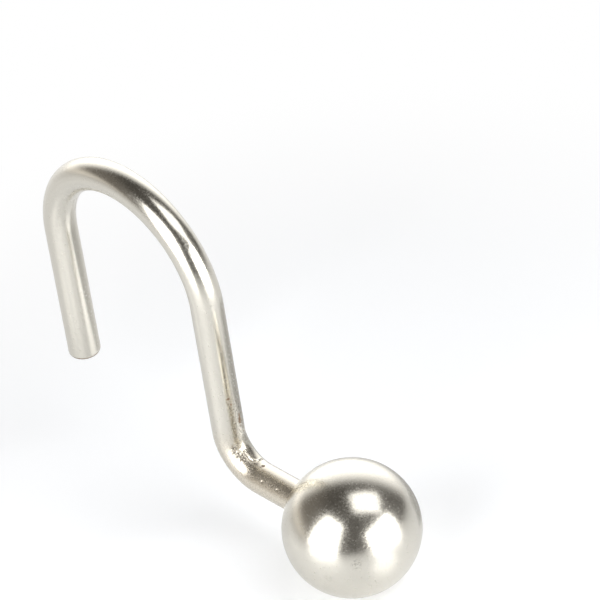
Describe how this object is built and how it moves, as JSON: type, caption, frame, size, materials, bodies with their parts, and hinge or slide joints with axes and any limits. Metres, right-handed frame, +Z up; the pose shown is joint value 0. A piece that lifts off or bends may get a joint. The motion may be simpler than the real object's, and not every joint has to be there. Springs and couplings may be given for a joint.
{
  "type": "curtain hook",
  "caption": "Ball-ended shower curtain hook: round satin nickel wire bent over a rod, with its foot turned forward into a solid ball.",
  "frame": {"origin": "top of the upper bend's inside, where the hook bears on the curtain rod", "axes": "+Z up as it hangs, +X from the free leg towards the ball, +Y along the rod"},
  "size_m": [0.0668, 0.02, 0.0565],
  "materials": {
    "satin_nickel_wire": "satin nickel plating on steel wire, lightly brushed, with small rust specks at the foot bend",
    "satin_nickel_ball": "satin nickel plating with a fine even grain"
  },
  "bodies": {
    "root": {"wire_hook": "satin_nickel_wire", "ball_knob": "satin_nickel_ball"}
  },
  "joints": []
}
